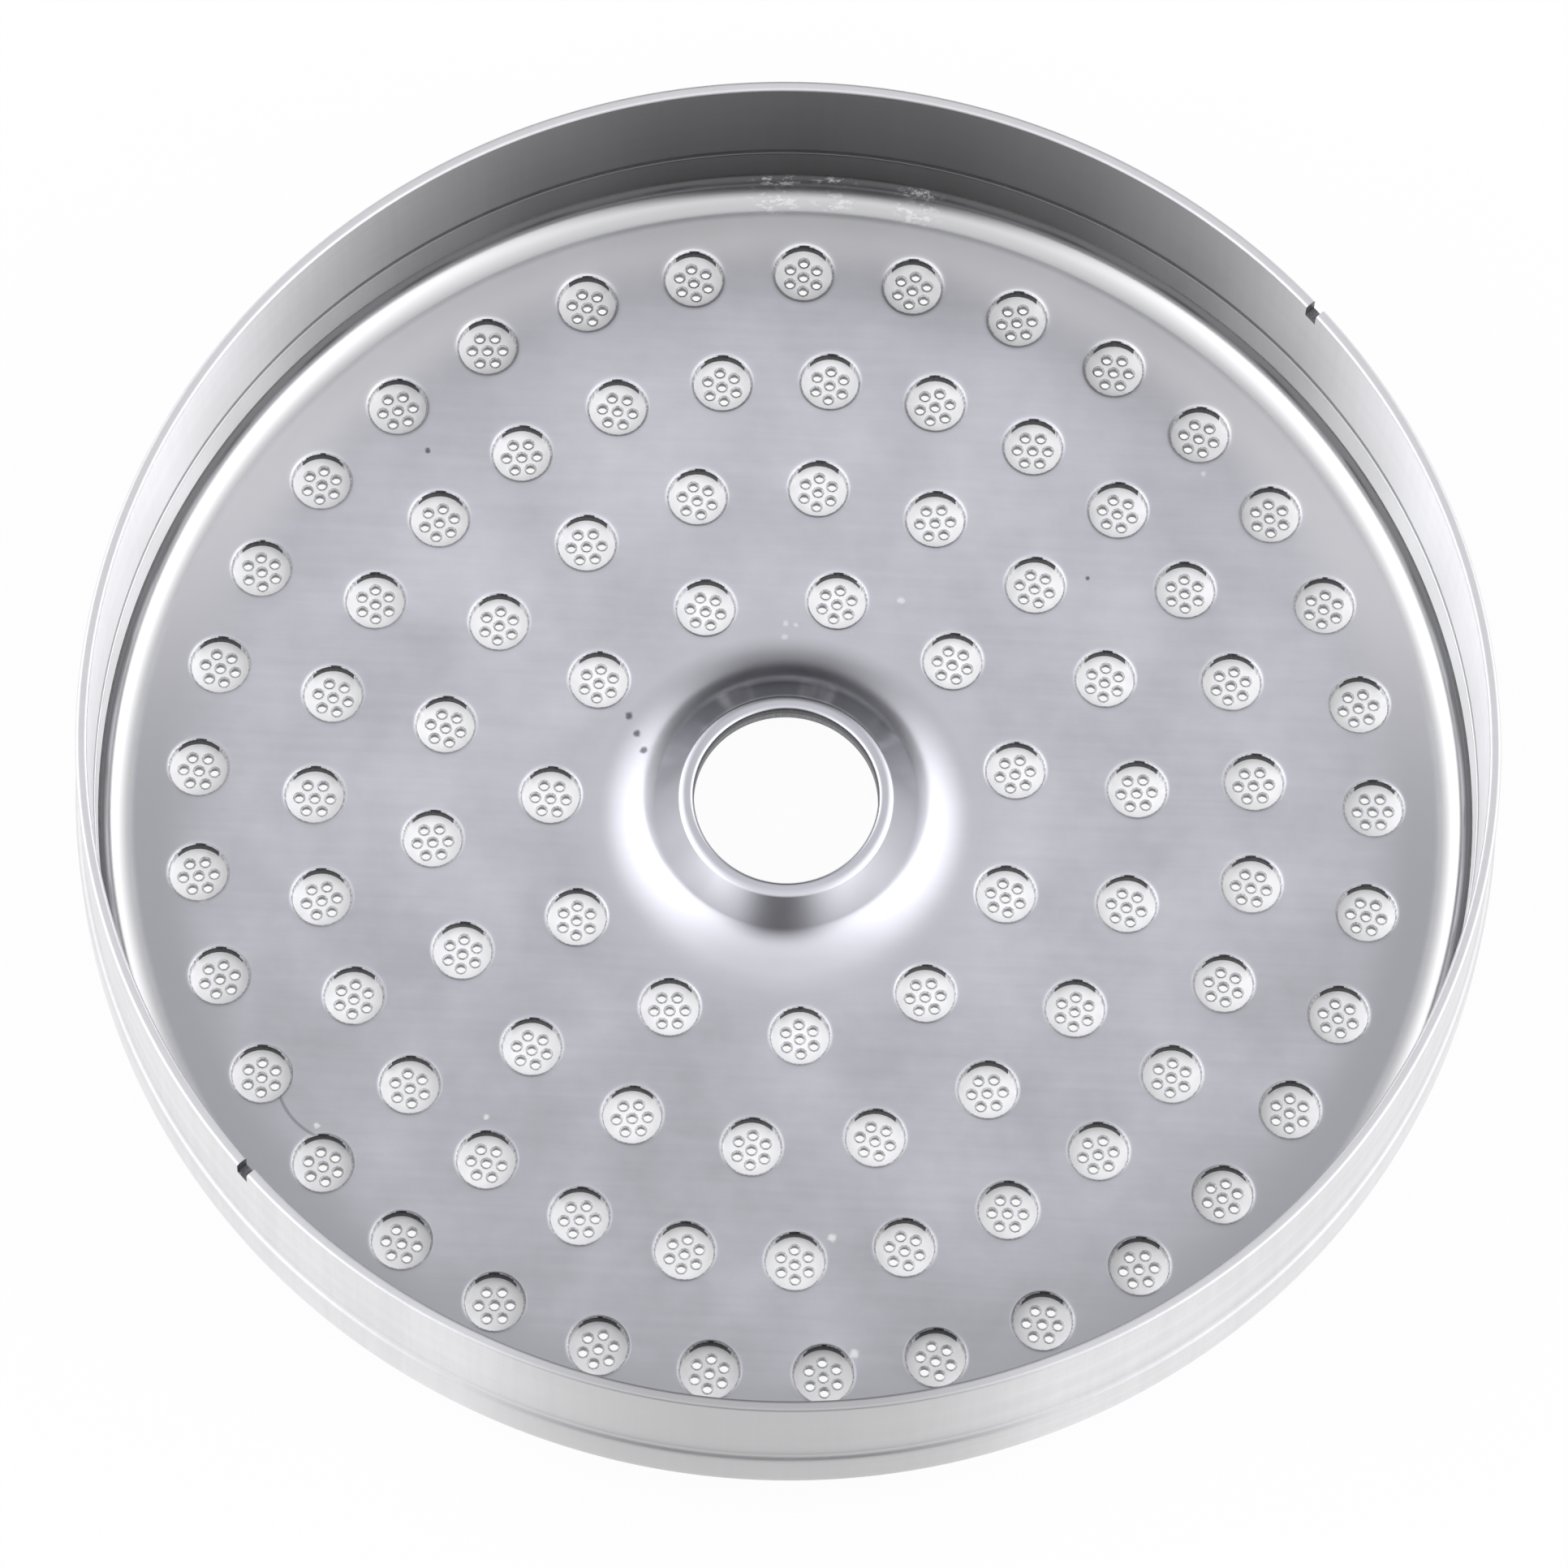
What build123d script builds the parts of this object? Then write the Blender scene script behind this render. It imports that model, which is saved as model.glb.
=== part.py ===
"""Espresso shower screen: two drawn sheets nested in one another.

The outer cup has a finely pierced floor and the full-height wall. The inner dish has the large holes
that feed the piercings, and ends at a seam part way up the cup's wall. Both sheets rise together into
a central boss, which is the screw's countersunk seat from below.

Millimetres. The origin is the centre of the cup's underside and +Z points out of the open side.
"""
import os
from math import radians, sin, tan

from build123d import *

# Sheets
cup_sheet = 0.5
dish_sheet = 0.5
dish_wall = 0.3
nest_gap = 0.05

# Wall and corner
dish_bore_radius = 29.1
dish_corner_radius = 1.45
seam_ledge = 0.1
seam_above_dish = 3.35
rim_above_dish = 9.7

# Central boss
screw_hole_radius = 3.9
seat_land = 0.05
boss_rise = 2.2
boss_slope = 46.0
boss_foot_bend = 2.85
boss_crown_bend = 0.45

# Rings of holes, from the inner ring to the outer one
feed_hole_radius = 1.22
feed_hole_sides = 8
pierced_hole_radius = 0.17
pierced_hole_sides = 4
first_ring_radius = 10.0
ring_pitch = 5.0
ring_counts = (11, 18, 27, 33)
ring_phases = (79.5, 86.9, 86.8, 90.5)

# Notches across the rim
notch_count = 2
notch_width = 0.6
notch_depth = 0.8
notch_azimuth = 43.2

# Straight chords that make up each round bend of a sheet
bend_chords = 3

# Heights, from the underside up
dish_floor = cup_sheet
dish_face = dish_floor + dish_sheet
seam_height = dish_face + seam_above_dish
rim_height = dish_face + rim_above_dish

# Radii of the nested walls
dish_outer_radius = dish_bore_radius + dish_wall
seat_radius = dish_outer_radius + nest_gap
cup_outer_radius = seat_radius + cup_sheet
upper_bore_radius = dish_bore_radius + seam_ledge
upper_outer_radius = upper_bore_radius + cup_sheet

# The cup's wall steps inward at 45 degrees above the seam
joggle = seat_radius - upper_bore_radius
joggle_shift = cup_sheet * tan(radians(45 / 2))

# How far the boss's flank runs, and how far it moves outward with height and for the gap
flank_run = boss_rise / tan(radians(boss_slope))
flank_shift = tan(radians(boss_slope / 2))
flank_gap = nest_gap / sin(radians(boss_slope))


def boss_corners(level, spread=0.0):
    """Crown edge and foot of the boss on the sheet surface whose flat floor is at a level."""
    crown = screw_hole_radius + seat_land + level * flank_shift + spread
    return (crown, level + boss_rise), (crown + flank_run, level)


def bend(before, corner, after, radius):
    """Points along the round bend that takes the place of a corner between two neighbours."""
    corner = Vector(*corner)
    back = (Vector(*before) - corner).normalized()
    ahead = (Vector(*after) - corner).normalized()
    half_angle = radians(back.get_angle(ahead) / 2)
    centre = corner + (back + ahead).normalized() * (radius / sin(half_angle))
    start = corner + back * (radius / tan(half_angle)) - centre
    end = corner + ahead * (radius / tan(half_angle)) - centre
    turn = start.get_signed_angle(end, Vector(0, 0, 1))
    return [centre + start.rotate(Axis.Z, turn * step / bend_chords) for step in range(bend_chords + 1)]


def sheet_outline(corners):
    """Outline of a sheet's section through corners given as a (radius, height) point and a bend radius."""
    outline = []
    for index, (point, radius) in enumerate(corners):
        if radius:
            before = corners[index - 1][0]
            after = corners[(index + 1) % len(corners)][0]
            outline += bend(before, point, after, radius)
        else:
            outline.append(Vector(*point))
    return outline


def ring_holes(radius, sides):
    """Sketch a hole at every place in the rings."""
    for index, (count, phase) in enumerate(zip(ring_counts, ring_phases)):
        with PolarLocations(first_ring_radius + index * ring_pitch, count, start_angle=phase):
            RegularPolygon(radius, sides)


dish_crown, dish_foot = boss_corners(dish_face, flank_gap)
dish_lower_crown, dish_lower_foot = boss_corners(dish_floor, flank_gap)
cup_crown, cup_foot = boss_corners(dish_floor)
cup_lower_crown, cup_lower_foot = boss_corners(0)

# Inner dish with the large feed holes
dish_corners = [
    ((screw_hole_radius, dish_crown[1]), 0),
    (dish_crown, boss_crown_bend),
    (dish_foot, boss_foot_bend),
    ((dish_bore_radius, dish_face), dish_corner_radius),
    ((dish_bore_radius, seam_height), 0),
    ((dish_outer_radius, seam_height), 0),
    ((dish_outer_radius, dish_floor), dish_corner_radius + dish_sheet),
    (dish_lower_foot, boss_foot_bend + dish_sheet),
    (dish_lower_crown, 0),
    ((screw_hole_radius, dish_lower_crown[1]), 0),
]
with BuildPart() as dish:
    with BuildSketch(Plane.XZ):
        with BuildLine():
            Polyline(*sheet_outline(dish_corners), close=True)
        make_face()
    revolve(axis=Axis.Z)
    with BuildSketch(Plane.XY):
        ring_holes(feed_hole_radius, feed_hole_sides)
    extrude(amount=seam_height, mode=Mode.SUBTRACT)

# Outer cup with the pierced floor and the notched rim
cup_inner_corner = dish_corner_radius + dish_sheet + nest_gap
cup_corners = [
    ((screw_hole_radius, cup_crown[1]), 0),
    (cup_crown, 0),
    (cup_foot, boss_foot_bend + dish_sheet),
    ((seat_radius, dish_floor), cup_inner_corner),
    ((seat_radius, seam_height), 0),
    ((upper_bore_radius, seam_height + joggle), 0),
    ((upper_bore_radius, rim_height), 0),
    ((upper_outer_radius, rim_height), 0),
    ((upper_outer_radius, seam_height + joggle + joggle_shift), 0),
    ((cup_outer_radius, seam_height + joggle_shift), 0),
    ((cup_outer_radius, 0), cup_inner_corner + cup_sheet),
    (cup_lower_foot, boss_foot_bend + dish_sheet + cup_sheet),
    (cup_lower_crown, 0),
    ((screw_hole_radius, cup_lower_crown[1]), 0),
]
with BuildPart() as cup:
    with BuildSketch(Plane.XZ):
        with BuildLine():
            Polyline(*sheet_outline(cup_corners), close=True)
        make_face()
    revolve(axis=Axis.Z)
    with BuildSketch(Plane.XY):
        ring_holes(pierced_hole_radius, pierced_hole_sides)
    extrude(amount=seam_height, mode=Mode.SUBTRACT)
    with BuildSketch(Plane.XY.offset(rim_height)):
        with PolarLocations(upper_bore_radius + cup_sheet / 2, notch_count, start_angle=notch_azimuth):
            Rectangle(2 * cup_sheet, notch_width)
    extrude(amount=-notch_depth, mode=Mode.SUBTRACT)

os.makedirs("parts", exist_ok=True)
for name, piece in (("perforated_dish", dish), ("outer_cup", cup)):
    piece.part.label = name
    export_step(piece.part, f"parts/{name}.step")
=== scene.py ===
"""Espresso shower screen, dressed in steel.

A drawn cup with a finely pierced floor holds a perforated dish. Both rise into one central boss.
Metres. The origin is the centre of the cup's underside and +Z points out of the open side.
"""
import math

import bmesh
import bpy
from bpy.props import FloatProperty, FloatVectorProperty, IntVectorProperty, PointerProperty
from bpy.types import Operator, Panel, PropertyGroup
from mathutils import Matrix, Vector


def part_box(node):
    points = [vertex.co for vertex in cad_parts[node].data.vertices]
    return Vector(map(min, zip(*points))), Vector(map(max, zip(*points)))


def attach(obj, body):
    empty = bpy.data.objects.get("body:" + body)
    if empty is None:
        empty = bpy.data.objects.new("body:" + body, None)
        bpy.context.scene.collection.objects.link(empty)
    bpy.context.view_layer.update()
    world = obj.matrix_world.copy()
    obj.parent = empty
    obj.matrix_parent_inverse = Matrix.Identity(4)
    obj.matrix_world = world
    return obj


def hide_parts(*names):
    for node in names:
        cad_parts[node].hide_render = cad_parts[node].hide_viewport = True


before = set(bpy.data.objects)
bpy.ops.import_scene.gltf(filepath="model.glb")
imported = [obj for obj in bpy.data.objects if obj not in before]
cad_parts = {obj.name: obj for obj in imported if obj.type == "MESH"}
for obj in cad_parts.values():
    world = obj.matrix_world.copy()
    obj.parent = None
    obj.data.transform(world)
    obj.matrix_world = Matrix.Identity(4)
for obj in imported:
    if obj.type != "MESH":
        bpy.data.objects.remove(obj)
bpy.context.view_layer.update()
dish_low, dish_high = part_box("perforated_dish")
cup_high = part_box("outer_cup")[1]

bl_info = {
    "name": "Espresso Shower Screen",
    "version": (1, 0, 0),
    "blender": (4, 5, 0),
    "location": "View3D > Sidebar > Shower Screen",
    "description": "Builds a nested espresso shower screen in satin and drawn steel",
    "category": "Object",
}

MM = 0.001
HAIR = 0.001 * MM
FULL_TURN = 2 * math.pi

# Steps round the axis of a sheet, a feed hole and a fine hole
TURN_STEPS = 256
FEED_HOLE_STEPS = 36
PIERCING_STEPS = 10

# Width of flat that a turned bend carries before the filled flat starts
FLAT_MARGIN = 0.2 * MM

# Places in each piece's list of materials, after the first
DISH_DARK_WALL, DISH_LINING, DISH_HOLE_SIDE_HIGHLIGHT = 1, 2, 3
CUP_SHEET, CUP_PIERCED, CUP_LINING, CUP_LIP = 1, 2, 3, 4


def length(name, description, millimetres):
    """A length property whose default is given in millimetres."""
    return FloatProperty(
        name=name, description=description, default=millimetres * MM, min=0.0,
        subtype="DISTANCE", unit="LENGTH", precision=5,
    )


def angle(name, description, degrees):
    """An angle property whose default is given in degrees."""
    return FloatProperty(
        name=name, description=description, default=math.radians(degrees),
        subtype="ANGLE", unit="ROTATION",
    )


def colour(name, description, default):
    """A colour property."""
    return FloatVectorProperty(
        name=name, description=description, default=default, size=3, min=0.0, max=1.0, subtype="COLOR",
    )


def level(name, description, default):
    """A light level property, where 1 is white."""
    return FloatProperty(name=name, description=description, default=default, min=0.0, soft_max=4.0)


class ShowerScreenSizes(PropertyGroup):
    """Sizes of the cup and the dish that the CAD box doesn't give."""

    cup_sheet: length("Cup sheet", "Thickness of the cup's sheet", 0.5)
    dish_sheet: length("Dish sheet", "Thickness of the dish's floor", 0.5)
    dish_wall: length("Dish wall", "Thickness of the dish's thinned wall", 0.3)
    nest_gap: length("Nest gap", "Gap between the two sheets", 0.05)
    dish_corner: length("Dish corner", "Bend between the dish's floor and its wall", 1.45)
    seam_ledge: length("Seam ledge", "How far the dish's edge stands proud of the cup's bore", 0.1)
    joggle_bend: length("Joggle bend", "Bend at each end of the step in the cup's wall", 0.35)
    rim_edge: length("Rim edge", "Rounding of the rim's two edges", 0.16)
    screw_hole_radius: length("Screw hole radius", "Radius of the hole in the boss", 3.9)
    seat_land: length("Seat land", "Flat between the screw hole and the countersunk seat", 0.05)
    screw_hole_edge: length("Screw hole edge", "Rounding of the hole's upper edge", 0.2)
    boss_rise: length("Boss rise", "Height of the boss above the floor", 2.2)
    boss_slope: angle("Boss slope", "Slope of the boss's flank", 46.0)
    boss_foot_bend: length("Boss foot bend", "Bend at the foot of the boss", 3.4)
    boss_crown_bend: length("Boss crown bend", "Bend at the top of the boss", 0.45)
    feed_hole_radius: length("Feed hole radius", "Radius of the dish's holes", 1.22)
    feed_hole_edge: length("Feed hole edge", "Rounding of the edge of the dish's holes", 0.2)
    piercing_radius: length("Piercing radius", "Radius of the fine holes in the cup's floor", 0.19)
    piercing_lip: length("Piercing lip", "Width of the sloping lip round a fine hole", 0.08)
    piercing_flare: length("Piercing flare", "How much wider a fine hole is at the underside", 0.05)
    piercing_spread: length("Piercing spread", "Distance of a fine hole from the middle one", 0.66)
    first_ring_radius: length("First ring radius", "Radius of the inner ring of holes", 10.0)
    ring_pitch: length("Ring pitch", "Distance from a ring of holes to the next", 5.0)
    ring_counts: IntVectorProperty(
        name="Ring counts", description="Holes in each ring, from the inner one out", default=(11, 18, 27, 33),
        size=4, min=3,
    )
    ring_phases: FloatVectorProperty(
        name="Ring phases", description="Azimuth of the first hole in each ring", size=4,
        default=[math.radians(phase) for phase in (79.5, 86.9, 86.8, 90.5)], subtype="NONE", unit="ROTATION",
    )
    notch_width: length("Notch width", "Width of the two notches across the rim", 0.6)
    notch_depth: length("Notch depth", "Depth of the two notches across the rim", 0.8)
    notch_azimuth: angle("Notch azimuth", "Azimuth of the first notch", 43.2)


class ShowerScreenFinishes(PropertyGroup):
    """Colours of the steels and the floor."""

    dish_steel: colour("Dish steel", "Satin steel of the dish", (0.61, 0.61, 0.65))
    cup_steel: colour("Cup steel", "Bright drawn steel of the cup's outside", (0.78, 0.78, 0.79))
    # The lining's darker far and near sides and its darker lower wall are painted shade, laid on in drawn_cup_steel
    lining_steel: colour("Lining steel", "Duller steel of the inside of the cup's wall", (0.9, 0.9, 0.89))
    sheet_steel: colour("Pierced sheet", "Bright matt steel inside the feed holes", (0.99, 0.99, 0.99))
    # The next colour is painted shade on the far side of each feed hole's wall and also darkens the screw hole's wall;
    # the one after is a painted highlight on the other sides of the feed holes' walls
    dark_wall_steel: colour("Punched wall", "Dull dark steel of the punched feed holes", (0.1, 0.1, 0.105))
    hole_side_highlight_steel: colour("Burnished wall", "Brighter steel of the sides of the feed holes", (0.86, 0.86, 0.87))
    pierced_steel: colour("Pierced wall", "Steel of the fine holes' walls and of the notches", (0.2, 0.2, 0.21))
    lip_steel: colour("Pierced lip", "Steel of the lips of the fine holes", (0.54, 0.54, 0.55))
    floor: colour("Floor", "Pale studio floor", (0.9, 0.9, 0.9))


class ShowerScreenStage(PropertyGroup):
    """Camera and light levels."""

    lens: FloatProperty(name="Lens", description="Focal length", default=260.96, min=1.0, unit="CAMERA")
    elevation: angle("Elevation", "Height of the camera above the horizon", 69.17)
    roll: angle("Roll", "Turn of the camera about its line of sight", 2.476)
    distance: length("Distance", "Distance from the camera to its aim", 482.85)
    aim: FloatVectorProperty(
        name="Aim", description="Point that the camera looks at", size=3, subtype="TRANSLATION", unit="LENGTH",
        default=(-0.1125 * MM, 1.335 * MM, 1.0 * MM), precision=5,
    )
    overhead_light: level("Overhead light", "Level of the strip of sky overhead", 0.82)
    side_light: level("Side light", "Level of the sky to the left and right", 2.15)


def add_shape(bm, shape):
    """Add a shape to a bmesh and free the shape."""
    mesh = bpy.data.meshes.new("shape")
    shape.to_mesh(mesh)
    shape.free()
    bm.from_mesh(mesh)
    bpy.data.meshes.remove(mesh)


def turned(corners, steps, fineness=7.0):
    """Turn a section all the way round the vertical axis.

    The section runs through (radius, height, bend) corners, with a short edge for each few degrees of a bend.
    """
    shape = bmesh.new()
    places = [Vector((radius, 0, height)) for radius, height, _ in corners]
    points = [shape.verts.new(place) for place in places]
    for start, end in zip(points, points[1:]):
        shape.edges.new((start, end))
    for index in range(1, len(corners) - 1):
        bend = corners[index][2]
        if not bend:
            continue
        opening = (places[index - 1] - places[index]).angle(places[index + 1] - places[index])
        bmesh.ops.bevel(
            shape, geom=[points[index]], affect="VERTICES", offset_type="ABSOLUTE",
            offset=bend / math.tan(opening / 2), segments=max(2, round(math.degrees(math.pi - opening) / fineness)),
            profile=0.5, clamp_overlap=False, material=-1,
        )
    bmesh.ops.spin(
        shape, geom=shape.verts[:] + shape.edges[:], cent=(0, 0, 0), axis=(0, 0, 1), dvec=(0, 0, 0),
        angle=FULL_TURN, steps=steps, use_merge=True,
    )
    return shape


def repeat_round(shape, count):
    """Repeat a shape so that there are count of it round the vertical axis."""
    bmesh.ops.spin(
        shape, geom=shape.verts[:] + shape.edges[:] + shape.faces[:], cent=(0, 0, 0), axis=(0, 0, 1),
        dvec=(0, 0, 0), angle=FULL_TURN * (count - 1) / count, steps=count - 1, use_duplicate=True,
    )


def add_rings(bm, sizes, make_hole):
    """Add the four rings of holes, each made afresh by make_hole."""
    for index, (count, phase) in enumerate(zip(sizes.ring_counts, sizes.ring_phases)):
        hole = make_hole()
        radius = sizes.first_ring_radius + index * sizes.ring_pitch
        bmesh.ops.translate(hole, verts=hole.verts[:], vec=(radius, 0, 0))
        bmesh.ops.rotate(hole, verts=hole.verts[:], cent=(0, 0, 0), matrix=Matrix.Rotation(phase, 3, "Z"))
        repeat_round(hole, count)
        add_shape(bm, hole)


def mark_faces(shape, index, test):
    """Give the faces that pass a test another of the piece's materials."""
    shape.normal_update()
    for face in shape.faces:
        if test(face):
            face.material_index = index


def close_flat(bm, height):
    """Fill a sheet's flat at a height, from bend to bend and round every hole through it."""
    edges = [
        edge for edge in bm.edges
        if edge.is_boundary and all(abs(vert.co.z - height) < HAIR for vert in edge.verts)
    ]
    bmesh.ops.triangle_fill(bm, edges=edges, use_beauty=True, normal=(0, 0, 1))


def boss_corners(sizes, floor, bend, spread=0.0):
    """Crown, foot and flat edge of the boss on the sheet surface whose flat floor is at a height."""
    crown = sizes.screw_hole_radius + sizes.seat_land + floor * math.tan(sizes.boss_slope / 2) + spread
    foot = crown + sizes.boss_rise / math.tan(sizes.boss_slope)
    return crown, foot, foot + bend * math.tan(sizes.boss_slope / 2) + FLAT_MARGIN


def dress(name, bm, materials, node):
    """Make the finished piece that stands for a CAD node."""
    bmesh.ops.recalc_face_normals(bm, faces=bm.faces[:])
    mesh = bpy.data.meshes.new(name)
    bm.to_mesh(mesh)
    bm.free()
    for material in materials:
        mesh.materials.append(material)
    mesh.shade_smooth()
    mesh.set_sharp_from_angle(angle=math.radians(38))
    piece = bpy.data.objects.new(name, mesh)
    bpy.context.scene.collection.objects.link(piece)
    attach(piece, "root")
    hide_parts(node)
    return piece


class Nodes:
    """Adds nodes to one node tree and links them as it goes."""

    def __init__(self, tree):
        self.tree = tree
        tree.nodes.clear()

    def add(self, kind, inputs, **settings):
        """Add a node, set its options, and set or link its inputs."""
        made = self.tree.nodes.new(kind)
        for option, value in settings.items():
            setattr(made, option, value)
        for socket, value in inputs.items():
            if isinstance(value, bpy.types.NodeSocket):
                self.tree.links.new(value, made.inputs[socket])
            else:
                made.inputs[socket].default_value = value
        return made

    def math(self, operation, first, second=0.0, clamp=False):
        """Combine two numbers."""
        return self.add("ShaderNodeMath", {0: first, 1: second}, operation=operation, use_clamp=clamp).outputs[0]

    def ramp(self, value, low, high, start=0.0, end=1.0):
        """Ease from start to end as a number goes from low to high."""
        inputs = {"Value": value, "From Min": low, "From Max": high, "To Min": start, "To Max": end}
        return self.add("ShaderNodeMapRange", inputs, interpolation_type="SMOOTHSTEP").outputs[0]

    def ramp_straight(self, value, low, high):
        """Go evenly from 0 to 1 as a number goes from low to high."""
        inputs = {"Value": value, "From Min": low, "From Max": high}
        return self.add("ShaderNodeMapRange", inputs).outputs[0]

    def blend(self, share, first, second):
        """Mix two colours."""
        inputs = {"Factor": share, 6: first, 7: second}
        return self.add("ShaderNodeMix", inputs, data_type="RGBA").outputs[2]

    def noise(self, place, scale, detail=3.0, roughness=0.5):
        """Cloudy noise, about 0.5 on average."""
        inputs = {"Vector": place, "Scale": scale, "Detail": detail, "Roughness": roughness}
        return self.add("ShaderNodeTexNoise", inputs).outputs[0]

    def stretch(self, place, scale, turn=0.0):
        """Stretch a place, after a turn about the vertical axis."""
        inputs = {"Vector": place, "Scale": scale, "Rotation": (0, 0, turn)}
        return self.add("ShaderNodeMapping", inputs).outputs[0]

    def away(self, place, point):
        """Distance of a place from a point."""
        return self.add("ShaderNodeVectorMath", {0: place, 1: point}, operation="DISTANCE").outputs["Value"]

    def place_mm(self):
        """Place on the piece in millimetres."""
        place = self.add("ShaderNodeTexCoord", {}).outputs["Object"]
        return self.add("ShaderNodeVectorMath", {0: place, "Scale": 1000.0}, operation="SCALE").outputs[0]

    def parts(self, place):
        """The three coordinates of a place."""
        return self.add("ShaderNodeSeparateXYZ", {0: place}).outputs

    def steel(self, base, roughness, height, depth, metallic=1.0, brushed=0.0):
        """Steel with a base colour, a roughness, and fine relief of a depth in metres.

        Brushed steel has its brush lines round the vertical axis, and spreads its highlights across them.
        """
        bump = self.add("ShaderNodeBump", {"Height": height, "Strength": 1.0, "Distance": depth})
        inputs = {"Base Color": base, "Metallic": metallic, "Roughness": roughness, "Normal": bump.outputs[0]}
        if brushed:
            place = self.add("ShaderNodeTexCoord", {}).outputs["Object"]
            around = self.add("ShaderNodeVectorMath", {0: (0, 0, 1), 1: place}, operation="CROSS_PRODUCT").outputs[0]
            inputs |= {"Anisotropic": brushed, "Anisotropic Rotation": 0.25, "Tangent": around}
        shader = self.add("ShaderNodeBsdfPrincipled", inputs)
        self.add("ShaderNodeOutputMaterial", {"Surface": shader.outputs[0]})


def new_material(name):
    """A new material and a helper for its nodes."""
    material = bpy.data.materials.new(name)
    material.use_nodes = True
    return material, Nodes(material.node_tree)


def shade(tint, factor):
    """A colour made darker or lighter, with its opacity."""
    return (*(min(1.0, part * factor) for part in tint), 1.0)


# Marks on the dish, as millimetres from the centre and a radius
DARK_SPECKS = (
    (-6.83, 4.13, 0.2), (-6.45, 3.3, 0.2), (-6.13, 2.46, 0.22), (12.49, 11.33, 0.13), (-16.02, 15.94, 0.16),
)
PALE_SPECKS = (
    (-0.34, 8.68, 0.16), (0.1, 8.62, 0.13), (-0.36, 8.05, 0.17), (4.54, 9.95, 0.2), (-19.1, -14.9, 0.16),
    (-24.46, -4.9, 0.3), (2.71, -18.87, 0.22), (3.85, -23.92, 0.24), (-12.0, -14.2, 0.15), (17.3, 16.4, 0.14),
)
CORNER_SCUFFS = ((-1.6, 28.5, 1.5), (0.9, 28.6, 1.2), (4.6, 28.1, 1.3))


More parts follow.
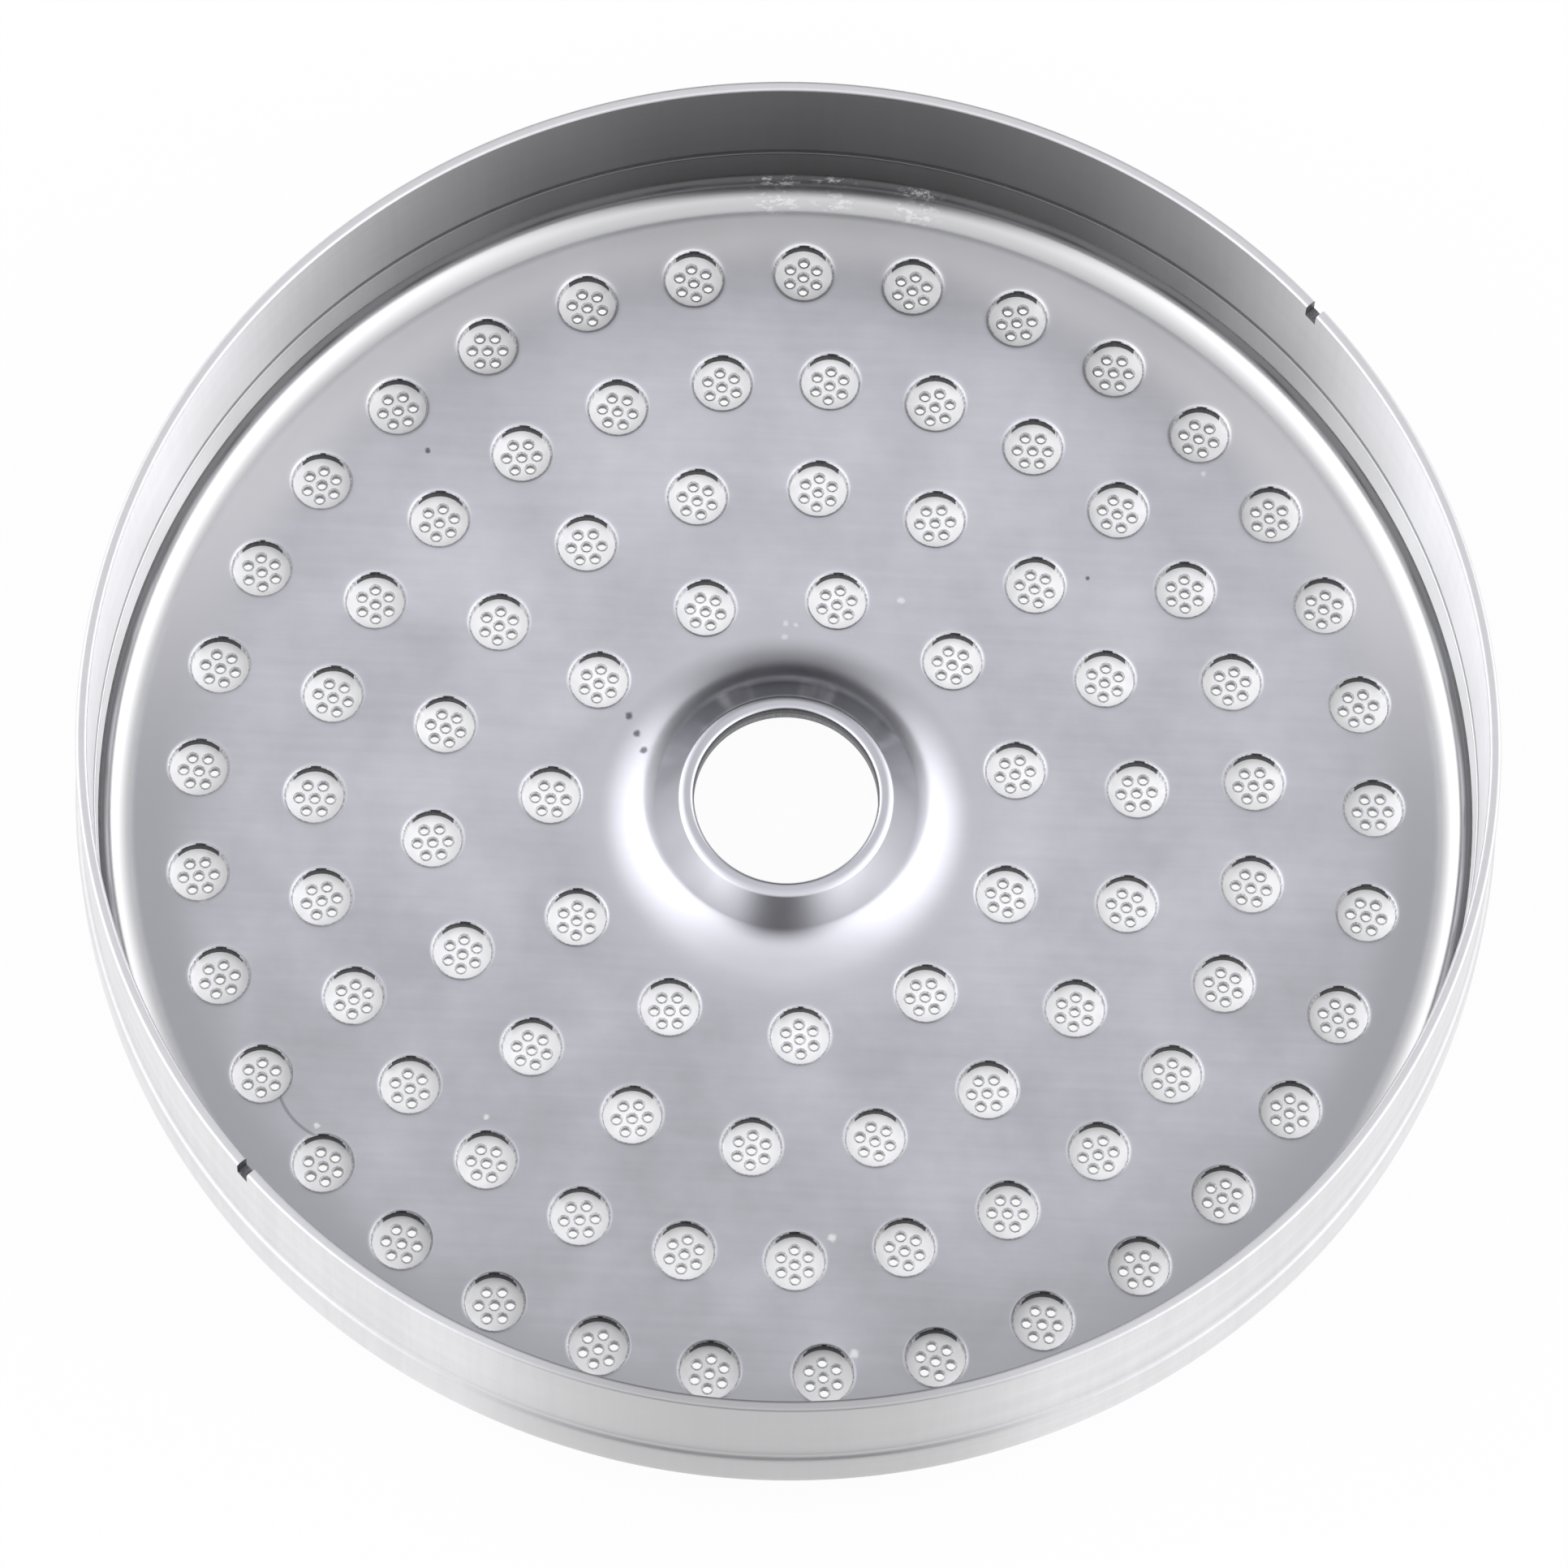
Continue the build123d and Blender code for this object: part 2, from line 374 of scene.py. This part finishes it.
def satin_dish_steel(tint):
    """Satin steel with a soft tonal drift, fine grain, a burnished corner and small marks, with painted light toward
    the far side and painted shade at the near margin, on the boss's far flank, in the crease and on the far lip.
    """
    material, nodes = new_material("satin_dish_steel")
    place = nodes.place_mm()
    across = nodes.stretch(place, (1, 1, 0))
    radius = nodes.away(across, (0, 0, 0))
    cloud = nodes.noise(place, 0.16, 5.0, 0.6)
    grain = nodes.noise(place, 7.0, 2.0)
    rubbed = nodes.noise(nodes.stretch(place, (0.12, 2.4, 1.0), math.radians(38)), 1.0, 4.0, 0.6)

    # Soft random drift of tone with faint rubbed streaks, plus painted light that makes the far side paler and the
    # near side darker
    _, toward_far, height = nodes.parts(place)
    tone = nodes.math("ADD", cloud, nodes.math("MULTIPLY", nodes.math("SUBTRACT", rubbed, 0.5), 0.25))
    tone = nodes.math("ADD", tone, nodes.math("MULTIPLY", toward_far, 0.011))
    base = nodes.blend(nodes.ramp_straight(tone, 0.1, 0.9), shade(tint, 0.78), shade(tint, 1.26))

    # Margin inside the corner, with painted shade at the near side and painted light at the far side
    margin = nodes.math("MULTIPLY", nodes.ramp(radius, 24.4, 26.8), nodes.ramp(radius, 27.5, 27.9, 1.0, 0.0))
    margin_painted_light = nodes.blend(nodes.ramp(toward_far, -2.0, 26.0), shade(tint, 0.8), shade(tint, 1.62))
    base = nodes.blend(margin, base, margin_painted_light)

    # Boss and corner rubbed smooth, the boss paler and the corner an even pale grey, with painted shade on the boss's
    # far flank, in the crease low on the wall and on the far side of the lip
    boss = nodes.ramp(radius, 8.0, 10.0, 1.0, 0.0)
    corner = nodes.ramp(radius, 27.6, 28.0)
    base = nodes.blend(nodes.math("MULTIPLY", boss, 0.7), base, shade(tint, 1.2))
    # Painted shade on the far flank of the boss
    flank = nodes.math("MULTIPLY", nodes.ramp(height, 1.6, 2.1), nodes.ramp(height, 2.9, 3.1, 0.75, 0.0))
    far_flank_shade = nodes.math("MULTIPLY", nodes.math("MULTIPLY", flank, boss), nodes.ramp(toward_far, 1.5, 4.5))
    base = nodes.blend(far_flank_shade, base, shade(tint, 0.42))
    base = nodes.blend(corner, base, (0.66, 0.66, 0.66, 1.0))
    # Painted shade in the crease low on the dish's wall and on the far side of the lip
    crease = nodes.math("MULTIPLY", nodes.ramp(radius, 28.72, 28.92), nodes.ramp(height, 2.6, 3.0, 1.0, 0.0))
    lip = nodes.math("MULTIPLY", nodes.ramp(height, 3.6, 4.0), nodes.ramp(toward_far, 10.0, 27.0))
    base = nodes.blend(nodes.math("MAXIMUM", crease, lip), base, (0.16, 0.16, 0.16, 1.0))

    # Small marks with a wavering outline
    waver = 0.16
    shift = nodes.add("ShaderNodeTexNoise", {"Vector": place, "Scale": 5.0}).outputs[1]
    shift = nodes.add("ShaderNodeVectorMath", {0: shift, "Scale": waver}, operation="SCALE").outputs[0]
    wavering = nodes.add("ShaderNodeVectorMath", {0: across, 1: shift}, operation="ADD").outputs[0]
    for spots, mark in ((DARK_SPECKS, (0.12, 0.12, 0.13, 1.0)), (PALE_SPECKS, (0.95, 0.95, 0.95, 1.0))):
        mask = 0.0
        for x, y, size in spots:
            middle = (x + waver / 2, y + waver / 2, waver / 2)
            spot = nodes.ramp(nodes.away(wavering, middle), size * 0.35, size * 1.1, 0.85, 0.0)
            mask = nodes.math("MAXIMUM", spot, mask)
        base = nodes.blend(mask, base, mark)

    # Pale ragged scuffs low on the corner
    streaks = nodes.noise(nodes.stretch(place, (1.3, 3.2, 1.3), math.radians(24)), 1.6, 4.0, 0.7)
    ragged = nodes.math("MULTIPLY", nodes.ramp(streaks, 0.52, 0.6), nodes.ramp(height, 1.9, 2.3, 1.0, 0.0))
    for x, y, size in CORNER_SCUFFS:
        patch = nodes.ramp(nodes.away(across, (x, y, 0.0)), size * 0.4, size, 0.55, 0.0)
        base = nodes.blend(nodes.math("MULTIPLY", patch, ragged), base, (0.95, 0.95, 0.95, 1.0))

    # Hairline scratch that bows between two holes of the outer ring
    bow = nodes.math("ABSOLUTE", nodes.math("SUBTRACT", nodes.away(across, (-17.9, -12.6, 0.0)), 3.0))
    between = nodes.ramp(nodes.away(across, (-20.2, -14.6, 0.0)), 1.6, 2.2, 1.0, 0.0)
    hairline = nodes.math("MULTIPLY", nodes.ramp(bow, 0.03, 0.1, 0.55, 0.0), between)
    base = nodes.blend(hairline, base, (0.2, 0.2, 0.22, 1.0))

    # Smooth boss and corner, and a rougher far margin
    roughness = nodes.ramp(cloud, 0.3, 0.7, 0.4, 0.46)
    burnished = nodes.math("MULTIPLY", nodes.math("MAXIMUM", corner, boss), 0.23)
    roughness = nodes.math("SUBTRACT", roughness, burnished)
    far_margin = nodes.math("MULTIPLY", margin, nodes.ramp(toward_far, 8.0, 26.0, 0.0, 0.15))
    roughness = nodes.math("ADD", roughness, far_margin)
    relief = nodes.math("ADD", grain, nodes.math("MULTIPLY", rubbed, 0.3))
    nodes.steel(base, roughness, relief, 0.0002 * MM)
    return material


def drawn_cup_steel(name, tint, smoothest, roughest, brushed):
    """Drawn steel with fine upright draw lines and faint bands round the wall.

    The brushed lining has painted shade at the far and near sides and painted shade that deepens toward the bottom of
    the wall. The plain outside has a little painted shade at the near side.
    """
    material, nodes = new_material(name)
    place = nodes.place_mm()
    x, y, z = nodes.parts(place)
    round_wall = nodes.math("MULTIPLY", nodes.math("ARCTAN2", y, x), 29.0)
    unrolled = nodes.add("ShaderNodeCombineXYZ", {0: round_wall, 1: z, 2: 0.0}).outputs[0]
    draw_lines = nodes.noise(nodes.stretch(unrolled, (2.2, 0.06, 1.0)), 1.0, 4.0, 0.65)
    bands = nodes.noise(nodes.stretch(unrolled, (0.02, 1.1, 1.0)), 1.0, 3.0)
    cloud = nodes.noise(place, 0.18, 4.0, 0.6)
    tone = nodes.math("MULTIPLY", nodes.math("ADD", nodes.math("ADD", draw_lines, bands), cloud), 0.3333)
    base = nodes.blend(nodes.ramp(tone, 0.36, 0.64), shade(tint, 0.96), shade(tint, 1.04))
    if brushed:
        # Painted shade: darker toward the bottom of the wall all round, and much darker at the far and near sides
        upward = nodes.ramp_straight(z, 1.0, 10.7)
        lining_shade = nodes.blend(upward, shade(tint, 0.11), shade(tint, 0.27))
        far_or_near = nodes.ramp(nodes.math("ABSOLUTE", y), 11.0, 29.0)
        base = nodes.blend(far_or_near, nodes.blend(upward, shade(tint, 0.8), base), lining_shade)
    else:
        # Painted shade on the outside of the wall at the near side
        base = nodes.blend(nodes.ramp(y, -29.9, -26.6), shade(tint, 0.65), base)
    roughness = nodes.ramp(tone, 0.36, 0.64, roughest, smoothest)
    relief = nodes.math("ADD", draw_lines, nodes.math("MULTIPLY", bands, 0.5))
    nodes.steel(base, roughness, relief, 0.0004 * MM, brushed=brushed)
    return material


def bright_sheet_steel(tint):
    """Bright matt steel of the pierced floor, with a fine etched grain."""
    material, nodes = new_material("bright_sheet_steel")
    place = nodes.place_mm()
    cloud = nodes.noise(place, 0.8, 3.0)
    grain = nodes.noise(place, 14.0, 2.0)
    base = nodes.blend(nodes.ramp(cloud, 0.3, 0.7), shade(tint, 0.94), shade(tint, 1.04))
    nodes.steel(base, nodes.ramp(grain, 0.3, 0.7, 0.58, 0.7), grain, 0.002 * MM, metallic=0.06)
    return material


def punched_wall_steel(name, tint):
    """Dull torn steel of a punched wall."""
    material, nodes = new_material(name)
    place = nodes.place_mm()
    torn = nodes.noise(nodes.stretch(place, (9.0, 9.0, 1.2)), 1.0, 3.0)
    base = nodes.blend(nodes.ramp(torn, 0.3, 0.7), shade(tint, 0.7), shade(tint, 1.3))
    nodes.steel(base, nodes.ramp(torn, 0.3, 0.7, 0.4, 0.55), torn, 0.004 * MM)
    return material


class SHOWERSCREEN_OT_dish(Operator):
    """Build the perforated dish, with its rings of feed holes and its side of the boss"""

    bl_idname = "showerscreen.dish"
    bl_label = "Perforated Dish"

    def execute(self, context):
        sizes = context.scene.shower_screen_sizes
        finishes = context.scene.shower_screen_finishes
        floor, seam, outside = dish_low.z, dish_high.z, dish_high.x
        face = floor + sizes.dish_sheet
        bore = outside - sizes.dish_wall
        gap = sizes.nest_gap / math.sin(sizes.boss_slope)
        bend = sizes.boss_foot_bend
        lower_bend = bend + sizes.dish_sheet
        crown, foot, edge = boss_corners(sizes, face, bend, gap)
        lower_crown, lower_foot, lower_edge = boss_corners(sizes, floor, lower_bend, gap)
        hole = sizes.screw_hole_radius
        bm = bmesh.new()
        add_shape(bm, turned((
            (edge, face, 0),
            (foot, face, bend),
            (crown, face + sizes.boss_rise, sizes.boss_crown_bend),
            (hole, face + sizes.boss_rise, sizes.screw_hole_edge),
            (hole, floor + sizes.boss_rise, 0),
            (lower_crown, floor + sizes.boss_rise, 0),
            (lower_foot, floor, lower_bend),
            (lower_edge, floor, 0),
        ), TURN_STEPS))
        corner = sizes.dish_corner
        lower_corner = corner + sizes.dish_sheet
        add_shape(bm, turned((
            (bore - corner - FLAT_MARGIN, face, 0),
            (bore, face, corner),
            (bore, seam, 0.09 * MM),
            (outside, seam, 0),
            (outside, floor, lower_corner),
            (outside - lower_corner - FLAT_MARGIN, floor, 0),
        ), TURN_STEPS))

        def feed_hole():
            radius = sizes.feed_hole_radius
            shape = turned((
                (radius + sizes.feed_hole_edge + 0.15 * MM, face, 0),
                (radius, face, sizes.feed_hole_edge),
                (radius, floor, 0),
                (radius + 0.1 * MM, floor, 0),
            ), FEED_HOLE_STEPS, 18.0)
            mark_faces(shape, DISH_DARK_WALL, lambda wall: abs(wall.normal.z) < 0.8)
            return shape

        add_rings(bm, sizes, feed_hole)
        close_flat(bm, face)
        close_flat(bm, floor)
        mark_faces(bm, DISH_DARK_WALL, lambda wall: all(
            vert.co.xy.length < hole + 0.05 * MM for vert in wall.verts
        ))
        mark_faces(bm, DISH_LINING, lambda wall: all(
            abs(vert.co.xy.length - bore) < 0.02 * MM for vert in wall.verts
        ))

        # Painted shade stays only on the far side of a feed hole's wall; its other sides take a paler colour as a
        # painted highlight
        bmesh.ops.recalc_face_normals(bm, faces=bm.faces[:])
        mark_faces(bm, DISH_HOLE_SIDE_HIGHLIGHT, lambda wall: (
            wall.material_index == DISH_DARK_WALL and wall.normal.y > -0.7
            and wall.calc_center_median().xy.length > edge
        ))
        materials = [
            satin_dish_steel(finishes.dish_steel),
            # Painted shade on the far sides of the feed holes' walls, and the dark screw hole wall
            punched_wall_steel("punched_wall_steel", finishes.dark_wall_steel),
            drawn_cup_steel("dish_lining_steel", finishes.lining_steel, 0.48, 0.54, 0.9),
            # Painted highlight on the other sides of the feed holes' walls
            punched_wall_steel("hole_side_highlight_wall_steel", finishes.hole_side_highlight_steel),
        ]
        dress("satin_dish", bm, materials, "perforated_dish")
        return {"FINISHED"}


def cut_notch(bm, sizes, azimuth):
    """Cut one notch straight through the rim and close its floor and its two sides."""
    outward = Vector((math.cos(azimuth), math.sin(azimuth), 0))
    across = Vector((-outward.y, outward.x, 0))
    half = sizes.notch_width / 2
    base = cup_high.z - sizes.notch_depth
    tiny = 0.0005 * MM

    def beside():
        return [
            face for face in bm.faces
            if face.calc_center_median().z > cup_high.z / 2 and face.calc_center_median().dot(outward) > 0
            and abs(face.calc_center_median().dot(across)) < 3 * MM
        ]

    upward = Vector((0, 0, 1))
    for point, normal in ((across * half, across), (-across * half, across), (upward * base, upward)):
        faces = beside()
        edges = {edge for face in faces for edge in face.edges}
        verts = {vert for face in faces for vert in face.verts}
        bmesh.ops.bisect_plane(bm, geom=faces + list(edges) + list(verts), dist=tiny, plane_co=point, plane_no=normal)
    middle = [
        face for face in beside()
        if abs(face.calc_center_median().dot(across)) < half and face.calc_center_median().z > base
    ]
    bmesh.ops.delete(bm, geom=middle, context="FACES")
    open_edges = {edge for face in beside() for edge in face.edges if edge.is_boundary}
    floor_edges = [edge for edge in open_edges if all(abs(vert.co.z - base) < tiny for vert in edge.verts)]
    ends = {}
    for vert in {vert for edge in floor_edges for vert in edge.verts}:
        if abs(abs(vert.co.dot(across)) - half) < tiny:
            ends.setdefault(vert.co.dot(across) > 0, []).append(vert)
    sills = {side: bm.edges.new(pair) for side, pair in ends.items()}
    for side, sill in sills.items():
        flank = [
            edge for edge in open_edges if edge not in floor_edges
            and all((vert.co.dot(across) > 0) == side for vert in edge.verts)
        ]
        bmesh.ops.edgeloop_fill(bm, edges=flank + [sill], mat_nr=CUP_PIERCED)
    bmesh.ops.edgeloop_fill(bm, edges=floor_edges + list(sills.values()), mat_nr=CUP_PIERCED)


class SHOWERSCREEN_OT_cup(Operator):
    """Build the outer cup, with its pierced floor, joggled wall and notched rim"""

    bl_idname = "showerscreen.cup"
    bl_label = "Outer Cup"

    def execute(self, context):
        sizes = context.scene.shower_screen_sizes
        finishes = context.scene.shower_screen_finishes
        floor, seam, outside, rim = dish_low.z, dish_high.z, cup_high.x, cup_high.z
        seat = outside - sizes.cup_sheet
        bore = dish_high.x - sizes.dish_wall + sizes.seam_ledge
        upper_outside = bore + sizes.cup_sheet
        joggle = seat - bore
        shift = sizes.cup_sheet * math.tan(math.pi / 8)
        bend = sizes.boss_foot_bend + sizes.dish_sheet
        lower_bend = bend + sizes.cup_sheet
        crown, foot, edge = boss_corners(sizes, floor, bend)
        lower_crown, lower_foot, lower_edge = boss_corners(sizes, 0.0, lower_bend)
        hole = sizes.screw_hole_radius
        bm = bmesh.new()
        add_shape(bm, turned((
            (edge, floor, 0),
            (foot, floor, bend),
            (crown, floor + sizes.boss_rise, 0),
            (hole, floor + sizes.boss_rise, 0),
            (hole, sizes.boss_rise, 0.02 * MM),
            (lower_crown, sizes.boss_rise, 0.02 * MM),
            (lower_foot, 0, lower_bend),
            (lower_edge, 0, 0),
        ), TURN_STEPS))
        corner = sizes.dish_corner + sizes.dish_sheet + sizes.nest_gap
        lower_corner = corner + sizes.cup_sheet
        soft = sizes.joggle_bend
        add_shape(bm, turned((
            (seat - corner - FLAT_MARGIN, floor, 0),
            (seat, floor, corner),
            (seat, seam, 0),
            (bore, seam + joggle, 0),
            (bore, rim, sizes.rim_edge),
            (upper_outside, rim, sizes.rim_edge),
            (upper_outside, seam + joggle + shift, soft),
            (outside, seam + shift, soft),
            (outside, 0, lower_corner),
            (outside - lower_corner - FLAT_MARGIN, 0, 0),
        ), TURN_STEPS))
        for index in range(2):
            cut_notch(bm, sizes, sizes.notch_azimuth + index * math.pi)

        def piercing():
            radius = sizes.piercing_radius
            lip = sizes.piercing_lip
            shape = turned((
                (radius + lip, floor, 0),
                (radius, floor - lip / 2, 0),
                (radius + sizes.piercing_flare, 0.02 * MM, 0),
                (radius + sizes.piercing_flare + 0.04 * MM, 0, 0),
            ), PIERCING_STEPS)

            # Turned a little, so that the rims of two holes don't line up where the flat is filled
            turn = Matrix.Rotation(math.radians(7), 3, "Z")
            bmesh.ops.rotate(shape, verts=shape.verts[:], cent=(0, 0, 0), matrix=turn)
            mark_faces(shape, CUP_LIP, lambda wall: wall.calc_center_median().z > floor - lip / 2)
            mark_faces(shape, CUP_PIERCED, lambda wall: abs(wall.normal.z) < 0.6)
            return shape

        def cluster():
            shape = piercing()
            bmesh.ops.translate(shape, verts=shape.verts[:], vec=(sizes.piercing_spread, 0, 0))
            repeat_round(shape, 6)
            add_shape(shape, piercing())
            return shape

        add_rings(bm, sizes, cluster)
        close_flat(bm, floor)
        close_flat(bm, 0.0)
        mark_faces(bm, CUP_SHEET, lambda flat: all(abs(vert.co.z - floor) < HAIR for vert in flat.verts))
        mark_faces(bm, CUP_PIERCED, lambda wall: all(vert.co.xy.length < hole + HAIR for vert in wall.verts))
        mark_faces(bm, CUP_LINING, lambda wall: all(
            vert.co.z > seam and vert.co.xy.length < bore + 0.02 * MM for vert in wall.verts
        ))
        materials = [
            drawn_cup_steel("bright_cup_steel", finishes.cup_steel, 0.38, 0.44, 0.0),
            bright_sheet_steel(finishes.sheet_steel),
            punched_wall_steel("pierced_wall_steel", finishes.pierced_steel),
            drawn_cup_steel("cup_lining_steel", finishes.lining_steel, 0.48, 0.54, 0.9),
            punched_wall_steel("pierced_lip_steel", finishes.lip_steel),
        ]
        dress("drawn_cup", bm, materials, "outer_cup")
        return {"FINISHED"}


# Grey of the sky's strip between the soft boxes, by how far its direction points to the far side
SKY_STRIP = (
    (-1.0, 0.05), (-0.985, 0.06), (-0.946, 0.11), (-0.9, 0.26), (-0.82, 0.72), (-0.66, 1.2), (-0.5, 1.15),
    (-0.356, 1.08), (-0.18, 1.08), (0.0, 1.0), (0.2, 0.95), (0.36, 0.9), (0.6, 0.72), (0.86, 0.36), (0.94, 0.16),
    (1.0, 0.12),
)


class SHOWERSCREEN_OT_stage(Operator):
    """Set up the pale floor, the soft studio light and the camera"""

    bl_idname = "showerscreen.stage"
    bl_label = "Studio Stage"

    def execute(self, context):
        scene = context.scene
        stage = scene.shower_screen_stage
        scene.view_settings.view_transform = "Standard"

        bm = bmesh.new()
        bmesh.ops.create_grid(bm, x_segments=8, y_segments=8, size=3.0)
        mesh = bpy.data.meshes.new("studio_floor")
        bm.to_mesh(mesh)
        bm.free()
        mesh.materials.append(self.floor_paper(scene.shower_screen_finishes.floor))
        floor = bpy.data.objects.new("studio_floor", mesh)
        floor.location.z = -0.02 * MM
        scene.collection.objects.link(floor)

        self.light_sky(scene, stage)

        back = Vector((0, -math.cos(stage.elevation), math.sin(stage.elevation)))
        side = Vector((1, 0, 0))
        top = back.cross(side)
        turn = Matrix.Rotation(stage.roll, 3, back)
        side, top = turn @ side, turn @ top
        camera_data = bpy.data.cameras.new("studio_camera")
        camera_data.lens = stage.lens
        camera_data.sensor_width = 36.0
        camera_data.clip_start = 0.01
        camera = bpy.data.objects.new("studio_camera", camera_data)
        camera.matrix_world = Matrix.Translation(Vector(stage.aim) + back * stage.distance) @ Matrix(
            (side, top, back)).transposed().to_4x4()
        scene.collection.objects.link(camera)
        scene.camera = camera
        return {"FINISHED"}

    def floor_paper(self, tint):
        """White paper that still takes the object's shadow."""
        material, nodes = new_material("studio_paper")
        fibre = nodes.noise(nodes.place_mm(), 0.4, 3.0)
        paper = nodes.add("ShaderNodeBsdfDiffuse", {"Color": nodes.blend(fibre, shade(tint, 0.99), shade(tint, 1.01))})
        glow = nodes.add("ShaderNodeEmission", {"Color": (1, 1, 1, 1), "Strength": 1.0})
        path = nodes.add("ShaderNodeLightPath", {})
        mirrored = nodes.math("ADD", path.outputs["Is Glossy Ray"], path.outputs["Is Transmission Ray"])
        seen = nodes.math("ADD", path.outputs["Is Camera Ray"], mirrored, clamp=True)
        share = nodes.math("MULTIPLY", seen, 0.93)
        both = nodes.add("ShaderNodeMixShader", {0: share, 1: paper.outputs[0], 2: glow.outputs[0]})
        nodes.add("ShaderNodeOutputMaterial", {"Surface": both.outputs[0]})
        return material

    def light_sky(self, scene, stage):
        """Soft boxes left and right that dim toward the floor, with a dimmer strip between them from far to near."""
        world = bpy.data.worlds.new("studio_sky")
        scene.world = world
        world.use_nodes = True
        nodes = Nodes(world.node_tree)
        x, y, z = nodes.parts(nodes.add("ShaderNodeTexCoord", {}).outputs["Generated"])
        strip = nodes.add("ShaderNodeValToRGB", {"Fac": nodes.ramp_straight(y, -1.0, 1.0)})
        stops = strip.color_ramp.elements
        stops[0].position, stops[1].position = (SKY_STRIP[0][0] + 1) / 2, (SKY_STRIP[-1][0] + 1) / 2
        for toward_far, _ in SKY_STRIP[1:-1]:
            stops.new((toward_far + 1) / 2)
        for stop, (toward_far, grey) in zip(stops, SKY_STRIP):
            stop.color = (grey, grey, grey, 1.0)
        overhead = nodes.math("MULTIPLY", strip.outputs[0], stage.overhead_light)
        sideways = nodes.math("POWER", nodes.ramp_straight(nodes.math("ABSOLUTE", x), 0.12, 0.88), 1.7)
        beside = nodes.math("MULTIPLY", nodes.ramp(z, -0.05, 0.4, 0.55, 1.0), stage.side_light)
        light = nodes.add("ShaderNodeMix", {0: sideways, 2: overhead, 3: beside}, data_type="FLOAT").outputs[0]
        sky = nodes.add("ShaderNodeBackground", {"Color": (0.99, 0.99, 1.02, 1), "Strength": light})
        nodes.add("ShaderNodeOutputWorld", {"Surface": sky.outputs[0]})


class SHOWERSCREEN_PT_panel(Panel):
    """Lists the sizes, finishes and pieces of the shower screen"""

    bl_label = "Shower Screen"
    bl_idname = "SHOWERSCREEN_PT_panel"
    bl_space_type = "VIEW_3D"
    bl_region_type = "UI"
    bl_category = "Shower Screen"

    def draw(self, context):
        layout = self.layout
        scene = context.scene
        for group in (scene.shower_screen_sizes, scene.shower_screen_finishes, scene.shower_screen_stage):
            column = layout.column(align=True)
            for name in group.bl_rna.properties.keys():
                if name not in ("name", "rna_type"):
                    column.prop(group, name)
        for operator in (SHOWERSCREEN_OT_dish, SHOWERSCREEN_OT_cup, SHOWERSCREEN_OT_stage):
            layout.operator(operator.bl_idname)


classes = (
    ShowerScreenSizes, ShowerScreenFinishes, ShowerScreenStage, SHOWERSCREEN_OT_dish, SHOWERSCREEN_OT_cup,
    SHOWERSCREEN_OT_stage, SHOWERSCREEN_PT_panel,
)


def register():
    for item in classes:
        bpy.utils.register_class(item)
    bpy.types.Scene.shower_screen_sizes = PointerProperty(type=ShowerScreenSizes)
    bpy.types.Scene.shower_screen_finishes = PointerProperty(type=ShowerScreenFinishes)
    bpy.types.Scene.shower_screen_stage = PointerProperty(type=ShowerScreenStage)


def unregister():
    del bpy.types.Scene.shower_screen_stage
    del bpy.types.Scene.shower_screen_finishes
    del bpy.types.Scene.shower_screen_sizes
    for item in reversed(classes):
        bpy.utils.unregister_class(item)


def main():
    register()
    bpy.ops.showerscreen.stage()
    bpy.ops.showerscreen.cup()
    bpy.ops.showerscreen.dish()


if __name__ == "__main__":
    main()
